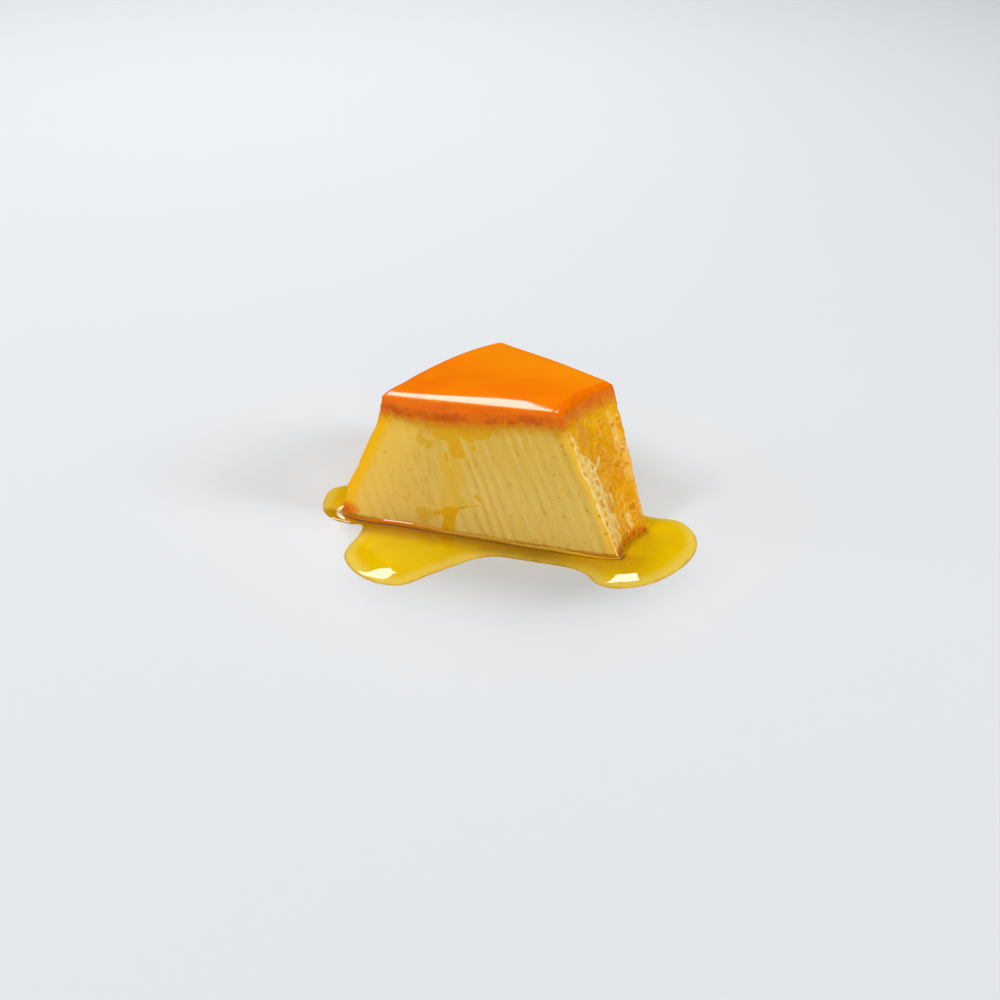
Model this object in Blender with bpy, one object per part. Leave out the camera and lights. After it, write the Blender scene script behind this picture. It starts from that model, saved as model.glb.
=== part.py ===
"""A slice of crema volteada, the baked caramel custard that is turned out of a ring mould.

The slice is a wedge of the ring. It stands on the face that was uppermost in the oven, under the
caramel-soaked layer that lay on the mould's floor. Its outer wall and its hollow inner wall have the
mould's taper, its two cut faces sag outwards near the foot, and the inner wall is open with pores.
Caramel syrup has run off it and lies round its foot in a pool with three lobes.

Units are metres and +Z is up. The slice lies along X, with the narrow end, which faced the mould's
tube, at +X. The mould's axis is vertical and passes through the empty named mould_axis. The origin
is at the foot of the whole, in the middle of its box.
"""

import math
import random

import bmesh
import bpy
from mathutils import Vector

# The ring mould, upside down as the custard stands
SLICE_ANGLE = math.radians(33.0)
OUTER_RADIUS_FOOT = 0.1268
OUTER_RADIUS_TOP = 0.1118
INNER_RADIUS_FOOT = 0.0340
INNER_RADIUS_TOP = 0.0528
HEIGHT_INNER = 0.0468
HEIGHT_OUTER = 0.0442
OUTER_SHOULDER = 0.0042
INNER_SHOULDER = 0.0016

# How the cut custard sags, and how unevenly the knife left it
FRONT_BULGE = 0.0041
BACK_BULGE = 0.0026
SAG_FADE = 1.3
SAG_SQUARENESS = 4.0
KNIFE_RIDGE = 0.00022
RIDGE_PITCH = 0.0078
RIDGE_LEAN = 0.37

# The caramel layer, and the joint that keeps it off the custard
LAYER_THICKNESS = 0.0052
JOINT = 0.0003

# Pores in the inner wall
PORE_COUNT = 30
PORE_RADIUS = (0.0006, 0.0012)
PORE_SEED = 11

# The syrup pool: its film's depth, the width of its rounded rim, its gap to the custard's foot, and how
# far it climbs the custard
POOL_DEPTH = 0.0020
POOL_RIM = 0.0017
POOL_GAP = 0.0003
POOL_CLIMB = 0.0005
POOL_CLIMB_WIDTH = 0.0010
POOL_STEPS = 5

# The pool's outline, as distances in mm from the mould's axis, seen from above and anticlockwise
POOL_OUTLINE_MM = (
    (-136.6, -23.8), (-135.0, -29.2), (-130.9, -35.5), (-121.5, -42.5), (-112.5, -42.0),
    (-107.0, -40.6), (-102.7, -47.5), (-102.0, -56.0), (-97.5, -64.3), (-87.0, -69.0),
    (-77.5, -67.0), (-72.3, -56.0), (-68.5, -43.0), (-64.0, -31.5), (-51.5, -25.6),
    (-38.5, -24.0), (-28.5, -28.3), (-20.5, -26.6), (-13.6, -16.5), (-12.2, 1.5),
    (-17.5, 16.0), (-28.0, 24.2), (-40.0, 21.5), (-55.0, 26.0), (-70.0, 36.5),
    (-84.0, 42.0), (-98.0, 40.5), (-112.0, 43.0), (-124.0, 43.0), (-129.0, 32.0),
    (-132.0, 12.0), (-132.2, -6.0), (-133.2, -18.6),
)

# How finely the surfaces are divided, and how far the divisions crowd towards the walls and the top
RADIAL_STEPS = 44
HEIGHT_STEPS = 15
TURN_STEPS = 12
CROWDING = 0.10
TOP_CROWDING = 0.86


def material(name, colour, roughness, alpha=1.0):
    """A Principled material of one colour, roughness and opacity."""
    made = bpy.data.materials.new(name)
    made.use_nodes = True
    shader = made.node_tree.nodes["Principled BSDF"]
    shader.inputs["Base Color"].default_value = (*colour, 1.0)
    shader.inputs["Roughness"].default_value = roughness
    shader.inputs["Metallic"].default_value = 0.0
    shader.inputs["Alpha"].default_value = alpha
    return made


def mix(low, high, share):
    """The value this share of the way from low to high."""
    return low + (high - low) * share


def eased(share):
    """A smooth step from 0 to 1."""
    share = min(max(share, 0.0), 1.0)
    return share * share * (3.0 - 2.0 * share)


def wall_radii(height):
    """The mould's inner and outer radius at this height above the foot."""
    share = height / HEIGHT_INNER
    inner = mix(INNER_RADIUS_FOOT, INNER_RADIUS_TOP, share)
    outer = mix(OUTER_RADIUS_FOOT, OUTER_RADIUS_TOP, height / HEIGHT_OUTER)
    return inner, outer


def rounded(along, up, radius):
    """Moves a point of a square corner into the quarter circle of this radius.

    along and up are its distances from the wall and from the top."""
    across = 1.0 - along / radius
    rise = 1.0 - up / radius
    if across <= 0.0 or rise <= 0.0:
        return along, up
    moved_across = across * math.sqrt(1.0 - 0.5 * rise * rise)
    moved_rise = rise * math.sqrt(1.0 - 0.5 * across * across)
    return radius * (1.0 - moved_across), radius * (1.0 - moved_rise)


def spread(share):
    """Divisions set closer together near both ends of a unit length."""
    return share - CROWDING * math.sin(2.0 * math.pi * share)


def profile_point(along_share, up_share):
    """Radius and height of a point in the slice's cross-section, from two shares from 0 to 1.

    The first share runs from the inner to the outer wall, the second from the foot to the top."""
    along_share = spread(along_share)
    top = mix(HEIGHT_INNER, HEIGHT_OUTER, along_share)
    height = top * up_share ** TOP_CROWDING
    inner, outer = wall_radii(height)
    width = outer - inner
    along = width * along_share
    below = top - height
    if along < INNER_SHOULDER * 2.0:
        along, below = rounded(along, below, INNER_SHOULDER)
    elif width - along < OUTER_SHOULDER:
        from_outer, below = rounded(width - along, below, OUTER_SHOULDER)
        along = width - from_outer
    return inner + along, top - below


def cut_face_offset(along_share, height, bulge):
    """How far a cut face stands proud of its plane, from its sag and the knife's ridges."""
    level = height / HEIGHT_INNER
    sag = bulge * (1.0 - level) ** SAG_FADE * (1.0 - abs(2.0 * along_share - 1.0) ** SAG_SQUARENESS)
    radius = mix(*wall_radii(height), spread(along_share))
    phase = 2.0 * math.pi * (radius - RIDGE_LEAN * height) / RIDGE_PITCH
    fade = eased((1.0 - level) * 5.0) * eased(level * 6.0)
    return sag + KNIFE_RIDGE * fade * (math.sin(phase) + 0.5 * math.sin(2.3 * phase + 1.0))


def turned_wedge():
    """The whole slice as one closed mesh: the mould's cross-section turned about its axis."""
    shape = bmesh.new()
    bmesh.ops.create_grid(shape, x_segments=RADIAL_STEPS, y_segments=HEIGHT_STEPS, size=0.5)
    along_layer = shape.verts.layers.float.new("along")
    half = SLICE_ANGLE / 2.0
    for vert in shape.verts:
        along_share = vert.co.x + 0.5
        up_share = vert.co.y + 0.5
        vert[along_layer] = along_share
        radius, height = profile_point(along_share, up_share)
        vert.co = (-radius * math.cos(half), -radius * math.sin(half), height)
    bmesh.ops.spin(
        shape,
        geom=shape.verts[:] + shape.edges[:] + shape.faces[:],
        cent=(0.0, 0.0, 0.0),
        axis=(0.0, 0.0, 1.0),
        dvec=(0.0, 0.0, 0.0),
        angle=-SLICE_ANGLE,
        steps=TURN_STEPS,
    )
    bmesh.ops.recalc_face_normals(shape, faces=shape.faces[:])
    for vert in shape.verts:
        sag_cut_face(vert, vert[along_layer])
    return shape


def sag_cut_face(vert, along_share):
    """Moves a point outwards by the sag of the cut face that it is nearest to."""
    angle = math.atan2(vert.co.y, -vert.co.x)
    share = angle / (SLICE_ANGLE / 2.0)
    side = math.copysign(1.0, share)
    nearness = eased((abs(share) - 0.5) * 2.0)
    bulge = BACK_BULGE if side > 0.0 else FRONT_BULGE
    offset = cut_face_offset(along_share, vert.co.z, bulge) * nearness
    half = SLICE_ANGLE / 2.0
    vert.co += offset * Vector((math.sin(half), side * math.cos(half), 0.0))


def layer_plane():
    """A point on the plane under the caramel layer, and the plane's upward normal."""
    slope = (HEIGHT_INNER - HEIGHT_OUTER) / (OUTER_RADIUS_TOP - INNER_RADIUS_TOP)
    middle = (OUTER_RADIUS_TOP + INNER_RADIUS_TOP) / 2.0
    height = (HEIGHT_INNER + HEIGHT_OUTER) / 2.0 - LAYER_THICKNESS
    return Vector((-middle, 0.0, height)), Vector((-slope, 0.0, 1.0)).normalized()


def cut_flat(shape, point, normal):
    """Removes what lies beyond the plane and closes the cut with one face."""
    found = bmesh.ops.bisect_plane(
        shape,
        geom=shape.verts[:] + shape.edges[:] + shape.faces[:],
        plane_co=point,
        plane_no=normal,
        clear_outer=True,
        dist=1e-6,
    )
    rim = [item for item in found["geom_cut"] if isinstance(item, bmesh.types.BMEdge)]
    bmesh.ops.edgeloop_fill(shape, edges=rim)


def merge_flat_foot(shape):
    """Makes one face of the many that lie on the floor."""
    foot = [face for face in shape.faces if all(abs(vert.co.z) < 1e-7 for vert in face.verts)]
    bmesh.ops.dissolve_faces(shape, faces=foot, use_verts=False)


def object_from(shape, name, finish, parent):
    """Links the mesh as one named object under its parent."""
    bmesh.ops.recalc_face_normals(shape, faces=shape.faces[:])
    mesh = bpy.data.meshes.new(name)
    shape.to_mesh(mesh)
    shape.free()
    mesh.shade_smooth()
    mesh.set_sharp_from_angle(angle=math.radians(40.0))
    mesh.materials.append(finish)
    made = bpy.data.objects.new(name, mesh)
    bpy.context.scene.collection.objects.link(made)
    made.parent = parent
    return made


def pore_places(rng):
    """Centres and radii of the pores: scattered over the inner wall, and none touching another."""
    placed = []
    while len(placed) < PORE_COUNT:
        angle = rng.uniform(-0.44, 0.44) * SLICE_ANGLE
        height = rng.uniform(0.07, 0.82) * HEIGHT_INNER
        radius = rng.uniform(*PORE_RADIUS)
        inner, _ = wall_radii(height)
        centre = Vector((-inner * math.cos(angle), inner * math.sin(angle), height))
        if all((centre - other).length > radius + size + 0.0007 for other, size in placed):
            placed.append((centre, radius))
    return placed


def cut_pores(custard, parent):
    """Opens the pores in the custard with one hidden cutter made of many small balls."""
    shape = bmesh.new()
    for centre, radius in pore_places(random.Random(PORE_SEED)):
        ball = bmesh.ops.create_icosphere(shape, subdivisions=1, radius=radius)
        bmesh.ops.translate(shape, verts=ball["verts"], vec=centre)
    mesh = bpy.data.meshes.new("pore_cutter")
    shape.to_mesh(mesh)
    shape.free()
    cutter = bpy.data.objects.new("pore_cutter", mesh)
    bpy.context.scene.collection.objects.link(cutter)
    cutter.parent = parent
    cutter.display_type = "WIRE"
    cutter.hide_render = True
    cut = custard.modifiers.new("pores", "BOOLEAN")
    cut.operation = "DIFFERENCE"
    cut.object = cutter


def make_custard(parent):
    """The pale baked custard, from the floor to the underside of the caramel layer."""
    shape = turned_wedge()
    point, normal = layer_plane()
    cut_flat(shape, point - normal * JOINT / 2.0, normal)
    merge_flat_foot(shape)
    finish = material("custard", (0.80, 0.56, 0.16), 0.35)
    custard = object_from(shape, "custard", finish, parent)
    cut_pores(custard, parent)
    return custard


def make_caramel_layer(parent):
    """The caramel-soaked layer on top, with the mould's rounded shoulders."""
    shape = turned_wedge()
    point, normal = layer_plane()
    cut_flat(shape, point + normal * JOINT / 2.0, -normal)
    finish = material("caramel_layer", (0.90, 0.26, 0.01), 0.12)
    return object_from(shape, "caramel_layer", finish, parent)


def closed_curve(points, steps):
    """Points on the closed Catmull-Rom curve through these, this many for each span."""
    smooth = []
    count = len(points)
    for index in range(count):
        before, start, end, after = (Vector(points[(index + k) % count]) for k in (-1, 0, 1, 2))
        for step in range(steps):
            t = step / steps
            smooth.append(
                0.5 * (
                    2.0 * start
                    + (end - before) * t
                    + (2.0 * before - 5.0 * start + 4.0 * end - after) * t ** 2
                    + (3.0 * start - before - 3.0 * end + after) * t ** 3
                )
            )
    return smooth


def outward_normals(loop):
    """Outward unit normals of an anticlockwise closed loop of flat points."""
    normals = []
    for index, _ in enumerate(loop):
        along = loop[(index + 1) % len(loop)] - loop[index - 1]
        normals.append(Vector((along.y, -along.x)).normalized())
    return normals


def foot_outline():
    """The custard's outline on the floor, anticlockwise: front cut, inner wall, back cut, outer wall."""
    half = SLICE_ANGLE / 2.0
    loop = []
    corners = (
        (-half, -half, 1.0, 0.0, RADIAL_STEPS, FRONT_BULGE),
        (-half, half, 0.0, 0.0, TURN_STEPS, 0.0),
        (half, half, 0.0, 1.0, RADIAL_STEPS, BACK_BULGE),
        (half, -half, 1.0, 1.0, TURN_STEPS, 0.0),
    )
    for angle_start, angle_end, along_start, along_end, steps, bulge in corners:
        for step in range(steps):
            angle = mix(angle_start, angle_end, step / steps)
            along_share = mix(along_start, along_end, step / steps)
            radius, _ = profile_point(along_share, 0.0)
            sag = cut_face_offset(along_share, 0.0, bulge)
            point = Vector((-radius * math.cos(angle), radius * math.sin(angle)))
            outward = Vector((math.sin(half), math.copysign(math.cos(half), angle)))
            loop.append(point + sag * outward)
    return loop


def ring_of_points(shape, loop, height):
    """Adds a closed ring of points at one height, or at a height for each."""
    heights = height if isinstance(height, list) else [height] * len(loop)
    return [shape.verts.new((point.x, point.y, z)) for point, z in zip(loop, heights)]


def join_rings(shape, first, second):
    """Joins two rings of equal count with a band of faces."""
    count = len(first)
    for index in range(count):
        following = (index + 1) % count
        shape.faces.new((first[index], first[following], second[following], second[index]))


def ring_edges(shape, ring):
    """The edges between neighbours in a ring."""
    return [shape.edges.get((ring[index - 1], ring[index])) for index in range(len(ring))]


def make_syrup_pool(parent):
    """The caramel syrup round the foot: flat below, rounded at its rim, climbing the custard a little."""
    shape = bmesh.new()
    outline = closed_curve([(x / 1000.0, y / 1000.0) for x, y in POOL_OUTLINE_MM], 3)
    normals = outward_normals(outline)
    outer_rings = []
    for step in range(POOL_STEPS + 1):
        turn = math.pi / 2.0 * step / POOL_STEPS
        inset = POOL_RIM * (1.0 - math.cos(turn))
        loop = [point - normal * inset for point, normal in zip(outline, normals)]
        outer_rings.append(ring_of_points(shape, loop, POOL_DEPTH * math.sin(turn)))
    foot = foot_outline()
    foot_normals = outward_normals(foot)
    inner_rings = []
    climb = (
        (POOL_GAP, 0.0),
        (POOL_GAP, POOL_DEPTH + POOL_CLIMB),
        (POOL_GAP + POOL_CLIMB_WIDTH / 2.0, POOL_DEPTH + POOL_CLIMB / 4.0),
        (POOL_GAP + POOL_CLIMB_WIDTH, POOL_DEPTH),
    )
    for gap, height in climb:
        loop = [point + normal * gap for point, normal in zip(foot, foot_normals)]
        inner_rings.append(ring_of_points(shape, loop, height))
    for rings in (outer_rings, inner_rings):
        for lower, upper in zip(rings, rings[1:]):
            join_rings(shape, lower, upper)
    for outer, inner in ((outer_rings[-1], inner_rings[-1]), (outer_rings[0], inner_rings[0])):
        rim = ring_edges(shape, outer) + ring_edges(shape, inner)
        bmesh.ops.triangle_fill(shape, edges=rim, use_beauty=True)
    finish = material("syrup", (0.85, 0.52, 0.02), 0.05, 0.8)
    return object_from(shape, "syrup_pool", finish, parent)


def stand_on_origin(parent, objects):
    """Moves the parent so that the box round all the objects has its foot's middle at the origin."""
    bpy.context.view_layer.update()
    corners = [obj.matrix_world @ Vector(corner) for obj in objects for corner in obj.bound_box]
    for axis in (0, 1):
        values = [corner[axis] for corner in corners]
        parent.location[axis] -= (min(values) + max(values)) / 2.0


def main():
    for obj in list(bpy.data.objects):
        bpy.data.objects.remove(obj)
    mould_axis = bpy.data.objects.new("mould_axis", None)
    bpy.context.scene.collection.objects.link(mould_axis)
    pieces = [make_custard(mould_axis), make_caramel_layer(mould_axis), make_syrup_pool(mould_axis)]
    stand_on_origin(mould_axis, pieces)


main()
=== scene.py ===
"""Looks of a slice of crema volteada: a wedge of baked custard from a ring mould, with its caramel layer and
the syrup that has run off it. Distances are in metres unless a name ends in _MM, and +Z is up.

The slice lies along X with its narrow end at +X, and points are taken from the mould's vertical axis. A point
of the slice is named by its share along the slice, 0 at the inner wall and 1 at the outer, by its share of
the turn, -1 at the front cut and 1 at the back cut, and by how far it lies below the top.
"""

import math
from types import SimpleNamespace

import bpy
import numpy as np
from mathutils import Matrix, Vector
from mathutils.geometry import delaunay_2d_cdt


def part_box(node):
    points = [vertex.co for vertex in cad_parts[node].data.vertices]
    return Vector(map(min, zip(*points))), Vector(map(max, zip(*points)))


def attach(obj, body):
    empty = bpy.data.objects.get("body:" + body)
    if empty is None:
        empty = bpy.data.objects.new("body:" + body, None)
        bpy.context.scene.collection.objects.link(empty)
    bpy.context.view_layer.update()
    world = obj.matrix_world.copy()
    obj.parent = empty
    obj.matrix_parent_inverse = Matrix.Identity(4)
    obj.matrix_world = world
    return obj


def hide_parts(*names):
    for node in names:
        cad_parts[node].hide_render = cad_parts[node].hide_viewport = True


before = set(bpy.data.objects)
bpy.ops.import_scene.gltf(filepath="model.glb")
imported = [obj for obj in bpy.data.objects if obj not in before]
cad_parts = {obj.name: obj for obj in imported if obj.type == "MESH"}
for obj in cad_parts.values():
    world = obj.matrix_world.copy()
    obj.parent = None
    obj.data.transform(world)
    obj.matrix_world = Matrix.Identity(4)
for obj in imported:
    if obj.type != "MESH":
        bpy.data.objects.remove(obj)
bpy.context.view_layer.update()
MM = 0.001

# The ring mould and the slice's sag, as the solids have them
HALF_ANGLE = math.radians(33.0) / 2.0
OUTER_RADIUS_FOOT = 0.1268
OUTER_RADIUS_TOP = 0.1118
INNER_RADIUS_FOOT = 0.0340
INNER_RADIUS_TOP = 0.0528
HEIGHT_INNER = 0.0468
HEIGHT_OUTER = 0.0442
LAYER_THICKNESS = 0.0052
OUTER_SHOULDER = 0.0042
INNER_SHOULDER = 0.0018
FRONT_BULGE = 0.0041
BACK_BULGE = 0.0026
SAG_FADE = 1.3
SAG_SQUARENESS = 4.0
SOLID_CROWDING = 0.10

# The flat direction in which the front cut faces
FRONT_NORMAL = np.array([math.sin(HALF_ANGLE), -math.cos(HALF_ANGLE)])

# The mould's axis: the custard reaches out to the mould's wall, and the layer lies evenly either side of it
MOULD_AXIS = Vector((
    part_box("custard")[0].x + OUTER_RADIUS_FOOT,
    (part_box("caramel_layer")[0].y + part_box("caramel_layer")[1].y) / 2.0,
    0.0,
))

# The camera, from the mould's axis: its place, the floor point in the picture's centre, and its roll
CAMERA_PLACE = Vector((0.2416, -0.4841, 0.2852))
CAMERA_AIM = Vector((-0.0855, 0.0028, 0.0))
CAMERA_ROLL = math.radians(1.018)
CAMERA_LENS_MM = 70.0
SENSOR_MM = 36.0

# How finely the slice is divided, and how far the divisions crowd towards its edges
CUT_COLUMNS = 212
WALL_COLUMNS = 96
CUSTARD_ROWS = 118
LAYER_ROWS = 20
EDGE_CROWDING = 0.05

# Small radii: the upright edges, the lip where the glaze meets the cuts, and the outer shoulder in front
UPRIGHT_EDGE = 0.7 * MM
LIP = 0.35 * MM
FRONT_SHOULDER = 1.2 * MM

# Where the slice departs from its cone. The outer wall is set in by these mm at each height in mm, and out
# where they are below 0. The inner wall is hollow near the front cut and flares at its foot, the front cut's
# sag keeps a share of itself there, and the top falls towards its outer edge
OUTER_INSETS_MM = (
    (0.0, -0.9), (6.0, -1.2), (11.0, -1.8), (19.0, -0.9), (25.0, -0.6), (30.0, 0.0), (34.0, 0.4),
    (38.0, 0.0), (41.0, -0.5), (44.2, -1.1),
)
INNER_HOLLOW = 0.8 * MM
INNER_HOLLOW_HEIGHTS = (20.0 * MM, 30.0 * MM, 42.0 * MM)
INNER_FLARE = 2.4 * MM
FLARE_POWER = 1.5
FLARE_SHARE_BEHIND = 0.35
INNER_SAG = 0.5
OUTER_DROP = 1.1 * MM

# The glaze: how far it domes, over what distance it falls to a cut, and how far from the inner wall its film
# ends in a step
DOME_HEIGHT = 0.60 * MM
DOME_REACH = 5.9 * MM
FILM_END = 3.0 * MM
FILM_STEP = 0.20 * MM

# The knife's marks: the pitch, lean and height of its ridges on the cut faces, and the depth and size of the
# short dashes between them
STREAK_PITCH = 4.0 * MM
STREAK_LEAN = 0.374
STREAK_HEIGHT = 0.12 * MM
DASH_DEPTH = 0.05 * MM
DASH_SIZE_MM = (0.7, 2.6)

# Waves in the surface, each as height and size in mm, seed, and number of layers, of which each is finer than
# the last, and how far a wall's waves reach round its corners and the foot's waves reach up
CUT_WAVES = ((0.16, 13.0, 31, 3),)
INNER_WAVES = ((0.32, 4.6, 51, 3), (0.11, 1.6, 55, 2))
INNER_BACK_WAVES = ((0.22, 2.6, 57, 2),)
OUTER_WAVES = ((0.18, 11.0, 61, 3), (0.03, 1.5, 65, 2))
GRAIN_WAVES = ((0.012, 0.7, 41, 1),)
CRUST_WAVES = ((0.10, 1.3, 101, 2),)
FOOT_WAVES = ((0.20, 1.8, 81, 2),)
GLAZE_WAVES = ((0.02, 14.0, 109, 1),)
CORNER_REACH = 0.7 * MM
FOOT_REACH = 1.4 * MM

# The height of the caramel's lower edge, in mm: over the radius on the cuts, over degrees of turn on the
# inner wall, and level on the outer wall
CUT_EDGE = (
    (52.6, 41.3), (63.0, 41.1), (73.0, 39.6), (83.0, 38.5), (93.0, 37.7), (100.0, 37.4), (106.0, 37.8),
    (110.0, 38.0),
)
WALL_EDGE = (
    (-16.5, 41.2), (-14.3, 42.4), (-4.0, 42.2), (4.7, 42.0), (10.7, 41.7), (15.0, 43.0), (16.5, 42.2),
)
OUTER_EDGE_MM = 38.2

# Outlines of the syrup on the front cut, as radius and height in mm: drips that stand out, thin washes, and a
# stain that is only colour
DRIPS_MM = (
    (
        (96.5, 39.0), (95.4, 36.0), (95.3, 34.8), (95.4, 33.1), (93.0, 32.3), (90.9, 31.9), (89.6, 29.8),
        (88.5, 27.2), (86.2, 26.9), (84.1, 27.9), (84.6, 29.8), (85.8, 32.1), (86.3, 34.2), (84.6, 33.4),
        (83.2, 32.4), (81.2, 32.7), (81.9, 34.1), (79.1, 33.9), (76.1, 34.9), (75.4, 36.6), (75.9, 40.0),
    ),
    (
        (91.7, 9.4), (88.3, 10.2), (86.6, 10.0), (86.9, 7.1), (87.6, 4.6), (88.0, 2.0), (92.1, 1.6),
        (91.4, 5.0), (91.9, 7.0),
    ),
)
WASHES_MM = (
    (
        (103.4, 38.2), (101.8, 35.2), (101.0, 33.0), (100.6, 30.4), (99.2, 29.4), (97.6, 29.9), (96.8, 28.4),
        (94.8, 28.6), (94.4, 30.4), (95.8, 31.2), (97.4, 31.4), (98.4, 33.0), (98.2, 34.6), (99.0, 36.0),
        (97.6, 38.6),
    ),
    (
        (100.3, 8.0), (100.6, 5.0), (98.8, 1.4), (96.4, 2.0), (95.9, 5.2), (94.6, 5.9), (92.7, 7.0),
        (92.8, 8.2), (95.0, 8.6), (97.5, 8.1),
    ),
)
STAINS_MM = (((92.8, 26.5), (86.0, 27.0), (84.8, 18.0), (84.8, 10.5), (92.0, 9.0), (92.8, 18.0)),)

# Thin runs and drops of syrup on the front cut: radius and height of both ends, and half the width, in mm
RUNS_MM = (
    ((86.6, 9.7), (83.4, 11.3), 0.45), ((83.4, 11.3), (78.9, 12.1), 0.3), ((80.8, 15.2), (79.4, 13.6), 0.5),
    ((90.7, 27.8), (90.2, 25.6), 0.45), ((81.6, 31.4), (81.2, 30.4), 1.0), ((94.6, 7.2), (92.4, 8.0), 0.4),
)

# How thick the syrup lies on the front cut
FILM_DEPTH = 0.12 * MM

# Pale custard that shows on the inner wall, where the strip by the front cut also carries a painted sheen:
# the strip ends at these degrees of turn for heights in mm, and the rest are strokes of turn and height at
# both ends and half the width in mm
CREAM_END = (
    (0.9, -10.6), (5.1, -6.0), (8.0, -9.0), (10.9, -2.5), (13.0, -9.0), (14.7, -8.8), (18.0, -6.6),
    (22.9, -7.6), (26.5, -6.4), (30.7, -10.4), (33.0, -13.0), (36.2, -13.1), (40.0, -14.6), (41.5, -17.0),
)
CREAM_STROKES = (
    ((-6.3, 26.3), (-1.3, 28.6), 0.3), ((-2.8, 16.9), (-2.8, 14.8), 0.65), ((6.1, 11.2), (6.0, 9.8), 0.45),
    ((-3.8, 18.6), (-9.5, 15.3), 0.3), ((-4.2, 10.5), (-5.1, 7.4), 1.1), ((6.0, 8.6), (6.7, 5.0), 1.1),
)
PEACH_STROKES = (
    ((10.9, 39.0), (11.5, 33.1), 1.1), ((12.2, 33.1), (12.4, 28.6), 2.0), ((14.6, 28.2), (14.9, 20.0), 1.5),
    ((11.6, 20.4), (12.4, 18.6), 0.9), ((15.6, 19.0), (15.6, 8.0), 0.9),
)

# Single pores: radius, height and size on the front cut, and degrees of turn, height and size on the inner
# wall, all but the degrees in mm
FACE_PORES_MM = (
    (53.6, 39.7, 0.5), (54.8, 36.9, 0.4), (52.2, 35.9, 0.6), (54.5, 32.0, 0.45), (52.7, 21.4, 0.5),
    (47.3, 20.4, 0.45), (53.8, 18.7, 0.4), (44.8, 15.6, 0.6), (52.0, 12.5, 0.5), (50.4, 3.9, 0.35),
    (40.8, 14.1, 0.6), (38.8, 8.5, 0.6), (111.4, 25.1, 0.35), (108.5, 19.1, 0.4), (103.3, 20.3, 0.4),
    (102.3, 20.8, 0.35), (118.4, 9.4, 0.3), (55.0, 26.0, 0.45), (62.4, 39.0, 0.35), (105.4, 39.5, 0.4),
    (105.4, 38.2, 0.4), (107.2, 38.5, 0.4),
)
WALL_PORES = (
    (-16.2, 39.5, 0.7), (-16.2, 36.7, 0.8), (-13.3, 33.6, 0.65), (-11.3, 30.4, 0.65), (-14.6, 30.1, 0.8),
    (-15.9, 27.2, 0.9), (-9.2, 27.5, 0.9), (-10.6, 25.2, 0.8), (-9.6, 22.5, 1.1), (-12.1, 20.1, 1.0),
    (-12.7, 17.2, 1.1), (-11.0, 15.7, 0.8), (-13.9, 14.2, 0.9), (-15.4, 11.6, 0.9), (-15.1, 7.3, 0.8),
    (-16.0, 5.4, 0.8), (-9.8, 5.5, 0.9), (0.9, 38.9, 0.85), (5.0, 37.8, 0.75), (7.8, 36.6, 0.75),
    (9.8, 39.9, 0.6), (1.2, 42.2, 0.6), (2.4, 34.4, 0.85), (-1.2, 32.1, 0.6), (2.7, 29.1, 0.85),
    (-4.1, 30.4, 0.6), (1.6, 26.6, 0.8), (9.6, 27.4, 0.9), (9.5, 23.6, 1.5), (3.5, 22.9, 0.85),
    (0.1, 18.2, 1.15), (-5.4, 12.6, 1.35), (4.8, 14.9, 1.05), (4.0, 11.8, 1.25), (3.2, 9.3, 1.0),
    (0.4, 7.3, 0.85), (0.0, 5.0, 0.85), (10.8, 10.0, 1.35), (11.7, 35.1, 0.9), (13.5, 26.9, 0.95),
    (13.8, 22.6, 1.0), (9.8, 16.0, 0.8), (9.6, 5.6, 0.8), (-2.6, 22.4, 0.6), (7.6, 31.6, 0.6),
)

# More pores, scattered: how many, their sizes, shares of the turn and heights in mm, the wall, 0 inner or 1
# outer, and how far apart they lie as a multiple of their sizes
PORE_SEED = 5
SCATTERED_PORES = (
    (34, (0.3, 0.6), (-0.98, -0.6), (3.0, 38.0), 0, 1.15),
    (60, (0.3, 0.65), (-0.55, 0.97), (3.0, 42.0), 0, 1.3),
    (50, (0.25, 0.6), (-0.95, 0.95), (3.0, 37.0), 1, 1.8),
)

# A pore's depth as a share of its size, and the height of its raised rim
PORE_DEPTH = 0.40
PORE_RIM = 0.04 * MM

# What a point's gap to something reads where that is out of reach, in mm: inside an outline, or on to a wall
OUTSIDE_MM = -9.0
OUT_OF_REACH_MM = 90.0

# The syrup's outline, in mm from the mould's axis, anticlockwise
POOL_OUTLINE_MM = (
    (-136.3, -24.0), (-134.4, -29.4), (-130.9, -35.1), (-126.6, -39.4), (-120.7, -41.6), (-115.1, -40.8),
    (-111.4, -39.3), (-108.9, -42.6), (-107.0, -48.0), (-105.4, -54.0), (-101.8, -60.4), (-95.0, -65.4),
    (-87.8, -67.8), (-80.7, -67.4), (-75.6, -63.6), (-73.0, -54.0), (-70.6, -45.7), (-68.0, -37.5),
    (-63.5, -31.9), (-56.0, -29.2), (-49.8, -27.2), (-43.6, -25.3), (-37.6, -24.5), (-33.3, -25.6),
    (-27.4, -28.6), (-20.5, -26.8), (-13.6, -16.5), (-12.2, 1.5), (-17.5, 16.0), (-28.0, 24.2),
    (-40.0, 21.5), (-55.0, 26.0), (-70.0, 36.5), (-84.0, 42.0), (-98.0, 40.5), (-112.0, 43.0),
    (-124.0, 43.0), (-129.0, 32.0), (-132.0, 12.0), (-132.2, -6.0), (-134.0, -17.6),
)

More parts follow.
